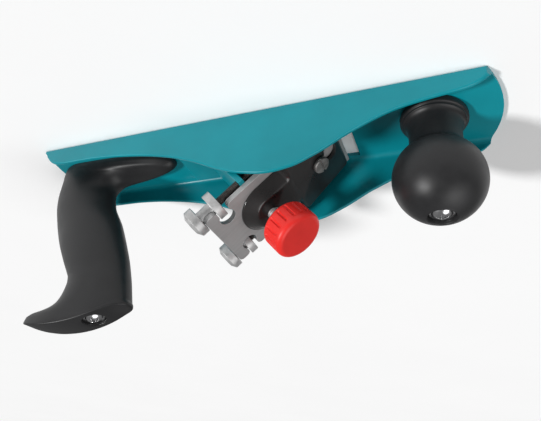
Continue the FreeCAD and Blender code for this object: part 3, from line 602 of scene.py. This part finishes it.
def paint_shank_shade(piece):
    """Paints shade on the shank: the faces whose middle lies below the lower flange get a dark
    material that stands in for the shade among the threads.
    """
    mesh = piece.data
    middle = np.empty(len(mesh.polygons) * 3)
    mesh.polygons.foreach_get("center", middle)
    up = (middle.reshape(-1, 3) / MM - np.array([BED_FOOT_X, 0.0, 0.0])) @ UP_BED
    # painted shade: material index 1 is the dark thread colour
    mesh.materials.append(bpy.data.materials.get("painted_shade_thread") or painted_shade_thread())
    mesh.polygons.foreach_set("material_index", (up < SHANK_TOP - 0.05).astype(np.int32))


def make_clamp_knob():
    """Fluted knob with both ends rounded: between them the radius dips in narrow grooves, spaced
    evenly in angle, which fade out towards the ends."""
    radius, low, high = 11.4, 16.2, 28.3
    flutes, depth = 18, 0.8
    bevel = 2.4
    profile = np.vstack([
        [(0.0, low), (3.2, low), (8.2, low)], arc((radius - 1.9, low + 1.9), 1.9, -90, 0, 8),
        np.stack([np.full(16, radius), np.linspace(low + 2.1, high - bevel - 0.5, 16)], -1),
        arc((radius - bevel, high - bevel), bevel, 4, 86, 12),
        [(radius - bevel - 0.3, high), (6.0, high), (3.0, high), (0.0, high)]])

    def ripple(angle, rows):
        wave = 0.5 - 0.5 * np.cos(flutes * angle)
        groove = np.clip(1.0 - wave * 3.6, 0, 1) ** 0.6
        height = rows[:, 1:]
        start = ease(height, low + 1.2, low + 2.6)
        end = ease(height, high - bevel - 2.2, high - bevel - 0.6)
        return 1 - depth / radius * groove * (start * (1 - end))

    skin = Skin()
    origin = bed_point(CLAMP_AT, 0.0, 0.0)
    skin.grid(turned(profile, origin, OFF_BED, LEFT, turns=flutes * 16, ripple=ripple), wrap=True)
    return skin.build("clamp_knob_skin", sharp=40)


def make_clamp_screw():
    """Threaded stud with a rounded tip and the collar under the knob."""
    origin = bed_point(CLAMP_AT, 0.0, 0.0)
    skin = Skin()
    stud_r, thread_start, thread_length, pitch, groove = 3.0, 4.0, 20.0, 1.0, 0.5
    tip = disc_profile(2.9, 2.6, 4.2, 0.9, 0.1)
    collar = disc_profile(4.5, 15.0, 16.25, 0.3, 0.1)
    for profile in (tip, collar):
        skin.grid(turned(profile, origin, OFF_BED, LEFT, turns=64), wrap=True)
    threaded(skin, origin + OFF_BED * thread_start, OFF_BED, LEFT, stud_r, thread_length,
             pitch, groove, turns=48)
    return skin.build("clamp_screw_skin", sharp=40)


# ---------------------------------------------------------------- finishes

def new_group(name, inputs, outputs):
    """An empty shader group with named sockets."""
    group = bpy.data.node_groups.new(name, "ShaderNodeTree")
    for label, kind, default in inputs:
        socket = group.interface.new_socket(label, in_out="INPUT", socket_type=kind)
        if default is not None:
            socket.default_value = default
    for label, kind in outputs:
        group.interface.new_socket(label, in_out="OUTPUT", socket_type=kind)
    return group, group.nodes.new("NodeGroupInput"), group.nodes.new("NodeGroupOutput")


def math_node(tree, operation, first, second=None, clamp=False):
    """One Math node; each input is a number or a socket."""
    node = tree.nodes.new("ShaderNodeMath")
    node.operation = operation
    node.use_clamp = clamp
    for slot, value in enumerate((first, second)):
        if value is None:
            continue
        if isinstance(value, (int, float)):
            node.inputs[slot].default_value = value
        else:
            tree.links.new(value, node.inputs[slot])
    return node.outputs[0]


def grain_group():
    """Two sizes of noise: Height for a bump, Shade for colour and gloss."""
    tree, inside, outside = new_group(
        "fine grain",
        [("Vector", "NodeSocketVector", None), ("Scale", "NodeSocketFloat", 900.0),
         ("Patches", "NodeSocketFloat", 40.0)],
        [("Height", "NodeSocketFloat"), ("Shade", "NodeSocketFloat")])
    fine = tree.nodes.new("ShaderNodeTexNoise")
    fine.inputs["Detail"].default_value = 3.0
    fine.inputs["Roughness"].default_value = 0.6
    wide = tree.nodes.new("ShaderNodeTexNoise")
    wide.inputs["Detail"].default_value = 5.0
    wide.inputs["Roughness"].default_value = 0.62
    tree.links.new(inside.outputs["Vector"], fine.inputs["Vector"])
    tree.links.new(inside.outputs["Scale"], fine.inputs["Scale"])
    tree.links.new(inside.outputs["Vector"], wide.inputs["Vector"])
    tree.links.new(inside.outputs["Patches"], wide.inputs["Scale"])
    tree.links.new(fine.outputs[0], outside.inputs["Height"])
    tree.links.new(wide.outputs[0], outside.inputs["Shade"])
    return tree


def edge_group():
    """Rounded-edge normal, and a mask that is 1 where it leaves the flat normal; a highlight is
    painted through this mask.
    """
    tree, inside, outside = new_group(
        "rounded edge and painted highlight", [("Radius", "NodeSocketFloat", 0.0004)],
        [("Normal", "NodeSocketVector"), ("Edge", "NodeSocketFloat")])
    bevel = tree.nodes.new("ShaderNodeBevel")
    bevel.samples = 6
    tree.links.new(inside.outputs["Radius"], bevel.inputs["Radius"])
    flat = tree.nodes.new("ShaderNodeNewGeometry")
    dot = tree.nodes.new("ShaderNodeVectorMath")
    dot.operation = "DOT_PRODUCT"
    tree.links.new(bevel.outputs[0], dot.inputs[0])
    tree.links.new(flat.outputs["Normal"], dot.inputs[1])
    turned_away = math_node(tree, "SUBTRACT", 1.0, dot.outputs["Value"])
    edge_gain = 6.0
    mask = math_node(tree, "MULTIPLY", turned_away, edge_gain, clamp=True)
    tree.links.new(mask, outside.inputs["Edge"])
    tree.links.new(bevel.outputs[0], outside.inputs["Normal"])
    return tree


def streak_group():
    """Long fine lines along one axis, as left by grinding."""
    tree, inside, outside = new_group(
        "ground streaks",
        [("Vector", "NodeSocketVector", None), ("Stretch", "NodeSocketVector", (1.0, 1.0, 1.0)),
         ("Scale", "NodeSocketFloat", 60.0)],
        [("Lines", "NodeSocketFloat")])
    stretch = tree.nodes.new("ShaderNodeVectorMath")
    stretch.operation = "MULTIPLY"
    tree.links.new(inside.outputs["Vector"], stretch.inputs[0])
    tree.links.new(inside.outputs["Stretch"], stretch.inputs[1])
    lines = tree.nodes.new("ShaderNodeTexNoise")
    lines.inputs["Detail"].default_value = 6.0
    lines.inputs["Roughness"].default_value = 0.7
    tree.links.new(stretch.outputs[0], lines.inputs["Vector"])
    tree.links.new(inside.outputs["Scale"], lines.inputs["Scale"])
    tree.links.new(lines.outputs[0], outside.inputs["Lines"])
    return tree


def group_once(make, name):
    """The node group of that name, made the first time it is asked for."""
    return bpy.data.node_groups.get(name) or make()


def ramp(tree, source, low, high, at=(0.35, 0.65)):
    """Colour ramp between two colours over part of a value's range."""
    node = tree.nodes.new("ShaderNodeValToRGB")
    node.color_ramp.elements[0].position = at[0]
    node.color_ramp.elements[1].position = at[1]
    node.color_ramp.elements[0].color = (*low, 1.0)
    node.color_ramp.elements[1].color = (*high, 1.0)
    tree.links.new(source, node.inputs[0])
    return node.outputs[0]


def spread(tree, source, low, high, from_low=0.35, from_high=0.65):
    """Maps a value's range onto another."""
    node = tree.nodes.new("ShaderNodeMapRange")
    for label, value in (("From Min", from_low), ("From Max", from_high),
                         ("To Min", low), ("To Max", high)):
        node.inputs[label].default_value = value
    tree.links.new(source, node.inputs["Value"])
    return node.outputs[0]


def finish(name, colour, colour_high, metallic, rough, rough_high, grain_scale, bump, bump_distance,
           patches=45.0, edge_radius=0.0, edge_highlight_colour=None, coat=0.0, coat_rough=0.1, streaks=None,
           level=0.5):
    """A procedural material: colour and gloss drift in patches, grain or streaks raise the
    surface, and edges are rounded and, where asked, given a painted highlight in a lighter colour."""
    material = bpy.data.materials.new(name)
    material.use_nodes = True
    tree = material.node_tree
    shader = tree.nodes["Principled BSDF"]
    shader.inputs["Metallic"].default_value = metallic
    shader.inputs["Coat Weight"].default_value = coat
    shader.inputs["Coat Roughness"].default_value = coat_rough
    shader.inputs["Specular IOR Level"].default_value = level
    place = tree.nodes.new("ShaderNodeTexCoord")
    grain = tree.nodes.new("ShaderNodeGroup")
    grain.node_tree = group_once(grain_group, "fine grain")
    grain.inputs["Scale"].default_value = grain_scale
    grain.inputs["Patches"].default_value = patches
    tree.links.new(place.outputs["Object"], grain.inputs["Vector"])
    shade = grain.outputs["Shade"]
    height = grain.outputs["Height"]
    if streaks is not None:
        lines = tree.nodes.new("ShaderNodeGroup")
        lines.node_tree = group_once(streak_group, "ground streaks")
        lines.inputs["Stretch"].default_value = streaks
        tree.links.new(place.outputs["Object"], lines.inputs["Vector"])
        height = lines.outputs["Lines"]
        patch_part, line_part = 0.45, 0.55
        shade = math_node(tree, "MULTIPLY_ADD", shade, patch_part)
        shade.node.inputs[2].default_value = 0.0
        drawn = math_node(tree, "MULTIPLY", lines.outputs["Lines"], line_part)
        tree.links.new(drawn, shade.node.inputs[2])
    tone = ramp(tree, shade, colour, colour_high)
    tree.links.new(spread(tree, shade, rough, rough_high), shader.inputs["Roughness"])
    raise_ = tree.nodes.new("ShaderNodeBump")
    raise_.inputs["Strength"].default_value = bump
    raise_.inputs["Distance"].default_value = bump_distance
    tree.links.new(height, raise_.inputs["Height"])
    if edge_radius:
        edge = tree.nodes.new("ShaderNodeGroup")
        edge.node_tree = group_once(edge_group, "rounded edge and painted highlight")
        edge.inputs["Radius"].default_value = edge_radius
        tree.links.new(edge.outputs["Normal"], raise_.inputs["Normal"])
        # painted highlight: the edge mask mixes a lighter colour into the base colour along the edges
        if edge_highlight_colour is not None:
            mix = tree.nodes.new("ShaderNodeMix")
            mix.data_type = "RGBA"
            tree.links.new(edge.outputs["Edge"], mix.inputs["Factor"])
            tree.links.new(tone, mix.inputs["A"])
            mix.inputs["B"].default_value = (*edge_highlight_colour, 1.0)
            tone = mix.outputs["Result"]
    tree.links.new(tone, shader.inputs["Base Color"])
    tree.links.new(raise_.outputs["Normal"], shader.inputs["Normal"])
    return material


def shaded(colour, factor):
    """A colour made lighter or darker, no channel above 1."""
    return tuple(min(1.0, c * factor) for c in colour)


def body_paint():
    colour = tuple(bpy.context.scene.plane_colours.paint)
    # painted highlight: the edges get a teal 1.8 times lighter than the paint
    return finish("teal_enamel", shaded(colour, 0.93), shaded(colour, 1.06), 0.0, 0.3, 0.38,
                  1400, 0.05, 0.00004, patches=30, edge_radius=0.0003,
                  edge_highlight_colour=shaded(colour, 1.8), coat=0.05, coat_rough=0.12, level=0.25)


def handle_plastic():
    colour = tuple(bpy.context.scene.plane_colours.handle)
    return finish("black_plastic", shaded(colour, 0.85), shaded(colour, 1.2), 0.0, 0.38, 0.5,
                  2600, 0.12, 0.00003, patches=70, level=0.36)


def knob_plastic():
    colour = tuple(bpy.context.scene.plane_colours.clamp)
    return finish("red_plastic", shaded(colour, 0.92), shaded(colour, 1.05), 0.0, 0.38, 0.48,
                  2200, 0.08, 0.00003, patches=60, level=0.35)


def cap_paint():
    # painted highlight: the cap's edges get a lighter grey than the black enamel
    return finish("black_enamel", (0.014, 0.0125, 0.0125), (0.023, 0.021, 0.021), 0.0, 0.26, 0.4,
                  1500, 0.1, 0.00004, patches=60, edge_radius=0.0003,
                  edge_highlight_colour=(0.05, 0.05, 0.05), coat=0.6, coat_rough=0.06, level=0.3)


def iron_steel():
    # painted highlight: the iron's edges get a bright grey
    return finish("ground_steel", (0.34, 0.34, 0.34), (0.42, 0.42, 0.42), 0.3, 0.5, 0.62,
                  1500, 0.15, 0.00002, patches=90, edge_radius=0.00035,
                  edge_highlight_colour=(0.7, 0.7, 0.7), streaks=(1.0, 14.0, 1.0))


def zinc_plate():
    # painted highlight: the zinc edges get a bright grey
    return finish("zinc_plate", (0.42, 0.42, 0.42), (0.6, 0.6, 0.6), 0.6, 0.42, 0.56,
                  1800, 0.2, 0.00002, patches=220, edge_radius=0.0002, edge_highlight_colour=(0.8, 0.8, 0.8))


def dull_screw():
    # painted highlight: the screw's edges get a lighter grey
    return finish("dull_screw", (0.16, 0.155, 0.15), (0.3, 0.29, 0.28), 0.7, 0.4, 0.55,
                  1600, 0.2, 0.00002, patches=260, edge_radius=0.0002, edge_highlight_colour=(0.55, 0.55, 0.55))


def painted_shade_thread():
    # painted shade: a dark grey standing in for the shade among the threads of the zinc screw, with a
    # painted highlight on the crests
    return finish("painted_shade_thread", (0.05, 0.042, 0.038), (0.1, 0.088, 0.08), 0.5, 0.42, 0.58,
                  1600, 0.2, 0.00002, patches=300, edge_radius=0.00015, edge_highlight_colour=(0.22, 0.2, 0.19))


def bright_bolt():
    # painted highlight: the bolt's edges get a near-white grey
    return finish("bright_bolt", (0.5, 0.5, 0.51), (0.72, 0.72, 0.73), 1.0, 0.16, 0.28,
                  1500, 0.1, 0.00002, patches=200, edge_radius=0.0002, edge_highlight_colour=(0.9, 0.9, 0.9))


def backdrop_paint():
    return finish("pale_floor", (0.94, 0.94, 0.94), (0.95, 0.95, 0.95), 0.0, 0.85, 0.9,
                  60, 0.02, 0.0005, patches=3, level=0.2)


FINISHES = {"teal_enamel": body_paint, "black_plastic": handle_plastic, "red_plastic": knob_plastic,
            "black_enamel": cap_paint, "ground_steel": iron_steel, "zinc_plate": zinc_plate,
            "dull_screw": dull_screw, "painted_shade_thread": painted_shade_thread, "bright_bolt": bright_bolt,
            "pale_floor": backdrop_paint}


def coat(piece, name):
    """Gives a piece or a CAD node one finish."""
    piece.data.materials.clear()
    piece.data.materials.append(bpy.data.materials.get(name) or FINISHES[name]())


def show(piece, finish_name, body, slot, *nodes):
    """Finishes a new piece and ties it to the frame."""
    coat(piece, finish_name)
    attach(piece, body)
    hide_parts(*nodes)


# ---------------------------------------------------------------- add-on

class PlaneColours(bpy.types.PropertyGroup):
    paint: FloatVectorProperty(
        name="Body paint", description="Enamel on the body and the frog", subtype="COLOR",
        size=3, min=0, max=1, default=(0.0025, 0.25, 0.3))
    handle: FloatVectorProperty(
        name="Handles", description="Plastic of the front knob and the tote", subtype="COLOR",
        size=3, min=0, max=1, default=(0.016, 0.016, 0.017))
    clamp: FloatVectorProperty(
        name="Clamp knob", description="Plastic of the clamp knob", subtype="COLOR",
        size=3, min=0, max=1, default=(0.82, 0.026, 0.02))


class PlaneStudio(bpy.types.PropertyGroup):
    azimuth: FloatProperty(
        name="Azimuth", description="Direction the camera stands in, round the object",
        subtype="ANGLE", default=math.radians(154.28))
    elevation: FloatProperty(
        name="Elevation", description="Height of the camera above the horizon",
        subtype="ANGLE", default=math.radians(30.1))
    roll: FloatProperty(
        name="Roll", description="Turn of the camera about its own line of sight",
        subtype="ANGLE", default=math.radians(187.29))
    distance: FloatProperty(
        name="Distance", description="From the camera to the point it is aimed at",
        subtype="DISTANCE", unit="LENGTH", default=0.19)
    lens: FloatProperty(
        name="Lens", description="Focal length for a 36 mm wide sensor", subtype="DISTANCE_CAMERA",
        unit="CAMERA", default=31.3)
    lift: FloatProperty(
        name="Brightness", description="Multiplies every light", min=0.0, default=1.0)


class PLANE_OT_body(bpy.types.Operator):
    """Builds the pressed body and paints the frog"""
    bl_idname = "plane.body"
    bl_label = "Body and frog"

    def execute(self, context):
        show(make_body_skin(), "teal_enamel", "plane", "body_paint", "body")
        coat(bpy.data.objects["frog"], "teal_enamel")
        return {"FINISHED"}


class PLANE_OT_handles(bpy.types.Operator):
    """Builds the front knob and the tote, and finishes their fasteners"""
    bl_idname = "plane.handles"
    bl_label = "Knob and tote"

    def execute(self, context):
        show(make_front_knob(), "black_plastic", "plane", "handle_plastic", "front_knob")
        show(make_tote(), "black_plastic", "plane", "handle_plastic", "tote")
        for node in ("knob_bolt", "tote_bolt", "knob_washer", "tote_washer"):
            coat(bpy.data.objects[node], "bright_bolt")
        for node in ("knob_insert", "tote_insert", "tote_stud"):
            coat(bpy.data.objects[node], "zinc_plate")
        return {"FINISHED"}


class PLANE_OT_cutter(bpy.types.Operator):
    """Finishes the iron, builds the lever cap and finishes its fasteners"""
    bl_idname = "plane.cutter"
    bl_label = "Iron and lever cap"

    def execute(self, context):
        coat(bpy.data.objects["iron"], "ground_steel")
        show(make_lever_cap(), "black_enamel", "cap", "cap_paint", "lever_cap")
        for node in ("fulcrum_screw", "fulcrum_nut", "clamp_nut"):
            coat(bpy.data.objects[node], "dull_screw")
        return {"FINISHED"}


class PLANE_OT_adjusters(bpy.types.Operator):
    """Builds the two adjusting screws, the clamp screw and the clamp knob"""
    bl_idname = "plane.adjusters"
    bl_label = "Adjusters and clamp"

    def execute(self, context):
        for node in ("left_adjuster", "right_adjuster"):
            piece = make_adjuster(node)
            show(piece, "zinc_plate", node, "zinc", node)
            paint_shank_shade(piece)
        show(make_clamp_screw(), "zinc_plate", "clamp_screw", "zinc", "clamp_screw")
        show(make_clamp_knob(), "red_plastic", "clamp_knob", "knob_plastic", "clamp_knob")
        return {"FINISHED"}


AIM = (0.0246, 0.0186, 0.0507)       # point the camera is aimed at, in metres
SHIFT = (0.0067, -0.0061)
SENSOR_WIDTH = 36.0
NEAR_CLIP = 0.005
FLOOR_REACH = 4000
FLOOR_Z = -0.02
SKY_GLOW = 0.2
BACKDROP_GLOW = 0.93
# Each lamp: direction it stands in, how wide it looks in degrees, strength.
KEY_LIGHT = ((-0.6, 0.6, 0.62), 8.0, 2.4)
TOP_LIGHT = ((0.55, 0.05, 0.9), 40.0, 1.35)


def camera_matrix(studio, target):
    """The camera's place and turn from its azimuth, elevation, roll and distance."""
    a, e, r = studio.azimuth, studio.elevation, studio.roll
    back = Vector((math.sin(a) * math.cos(e), -math.cos(a) * math.cos(e), math.sin(e)))
    level = Vector((math.cos(a), math.sin(a), 0))
    upright = back.cross(level)
    right = level * math.cos(r) + upright * math.sin(r)
    up = upright * math.cos(r) - level * math.sin(r)
    matrix = Matrix((right, up, back)).transposed().to_4x4()
    matrix.translation = target + back * studio.distance
    return matrix


def soft_sun(name, towards, spread_angle, power):
    """A far soft light that stands in one direction, so that the whole floor is lit alike."""
    light = bpy.data.lights.new(name, "SUN")
    light.angle = math.radians(spread_angle)
    light.energy = power
    lamp = bpy.data.objects.new(name, light)
    lamp.rotation_mode = "QUATERNION"
    lamp.rotation_quaternion = Vector(towards).to_track_quat("Z", "Y")
    bpy.context.collection.objects.link(lamp)


def studio_world(glow, backdrop):
    """Even light from all round, with a paler backdrop behind the edge of the floor."""
    world = bpy.data.worlds.new("studio")
    world.use_nodes = True
    tree = world.node_tree
    sky = tree.nodes["Background"]
    sky.inputs["Color"].default_value = (1, 1, 1, 1)
    sky.inputs["Strength"].default_value = glow
    pale = tree.nodes.new("ShaderNodeBackground")
    pale.inputs["Color"].default_value = (1, 1, 1, 1)
    pale.inputs["Strength"].default_value = backdrop
    seen = tree.nodes.new("ShaderNodeLightPath")
    mix = tree.nodes.new("ShaderNodeMixShader")
    tree.links.new(seen.outputs["Is Camera Ray"], mix.inputs[0])
    tree.links.new(sky.outputs[0], mix.inputs[1])
    tree.links.new(pale.outputs[0], mix.inputs[2])
    tree.links.new(mix.outputs[0], tree.nodes["World Output"].inputs["Surface"])
    return world


class PLANE_OT_stage(bpy.types.Operator):
    """Lays the floor, hangs the lights and sets up the camera"""
    bl_idname = "plane.stage"
    bl_label = "Stage"

    def execute(self, context):
        studio = context.scene.plane_studio
        skin = Skin()
        reach = np.linspace(-FLOOR_REACH, FLOOR_REACH, 9)
        x, y = np.meshgrid(reach, reach, indexing="ij")
        skin.grid(np.stack([x, y, np.full_like(x, FLOOR_Z)], -1))
        floor = skin.build("floor")
        coat(floor, "pale_floor")
        context.scene.world = studio_world(SKY_GLOW * studio.lift, BACKDROP_GLOW)
        for name, (towards, angle, power) in (("key_light", KEY_LIGHT), ("top_light", TOP_LIGHT)):
            soft_sun(name, towards, angle, power * studio.lift)
        camera = bpy.data.objects.new("camera", bpy.data.cameras.new("camera"))
        context.collection.objects.link(camera)
        camera.matrix_world = camera_matrix(studio, Vector(AIM))
        camera.data.lens = studio.lens
        camera.data.sensor_width = SENSOR_WIDTH
        camera.data.shift_x, camera.data.shift_y = SHIFT
        camera.data.clip_start = NEAR_CLIP
        context.scene.camera = camera
        context.scene.view_settings.view_transform = "Standard"
        return {"FINISHED"}


OPERATORS = (PLANE_OT_body, PLANE_OT_handles, PLANE_OT_cutter, PLANE_OT_adjusters, PLANE_OT_stage)


class PLANE_PT_panel(bpy.types.Panel):
    """Lists the colours, the studio settings and the building steps"""
    bl_label = "Smoothing plane"
    bl_space_type = "VIEW_3D"
    bl_region_type = "UI"
    bl_category = "Plane"

    def draw(self, context):
        for group in (context.scene.plane_colours, context.scene.plane_studio):
            for name in group.__annotations__:
                self.layout.prop(group, name)
        for operator in OPERATORS:
            self.layout.operator(operator.bl_idname)


CLASSES = (PlaneColours, PlaneStudio, *OPERATORS, PLANE_PT_panel)


def register():
    for cls in CLASSES:
        bpy.utils.register_class(cls)
    bpy.types.Scene.plane_colours = PointerProperty(type=PlaneColours)
    bpy.types.Scene.plane_studio = PointerProperty(type=PlaneStudio)


def unregister():
    del bpy.types.Scene.plane_studio
    del bpy.types.Scene.plane_colours
    for cls in reversed(CLASSES):
        bpy.utils.unregister_class(cls)


def main():
    register()
    bpy.ops.plane.body()
    bpy.ops.plane.handles()
    bpy.ops.plane.cutter()
    bpy.ops.plane.adjusters()
    bpy.ops.plane.stage()


if __name__ == "__main__":
    main()
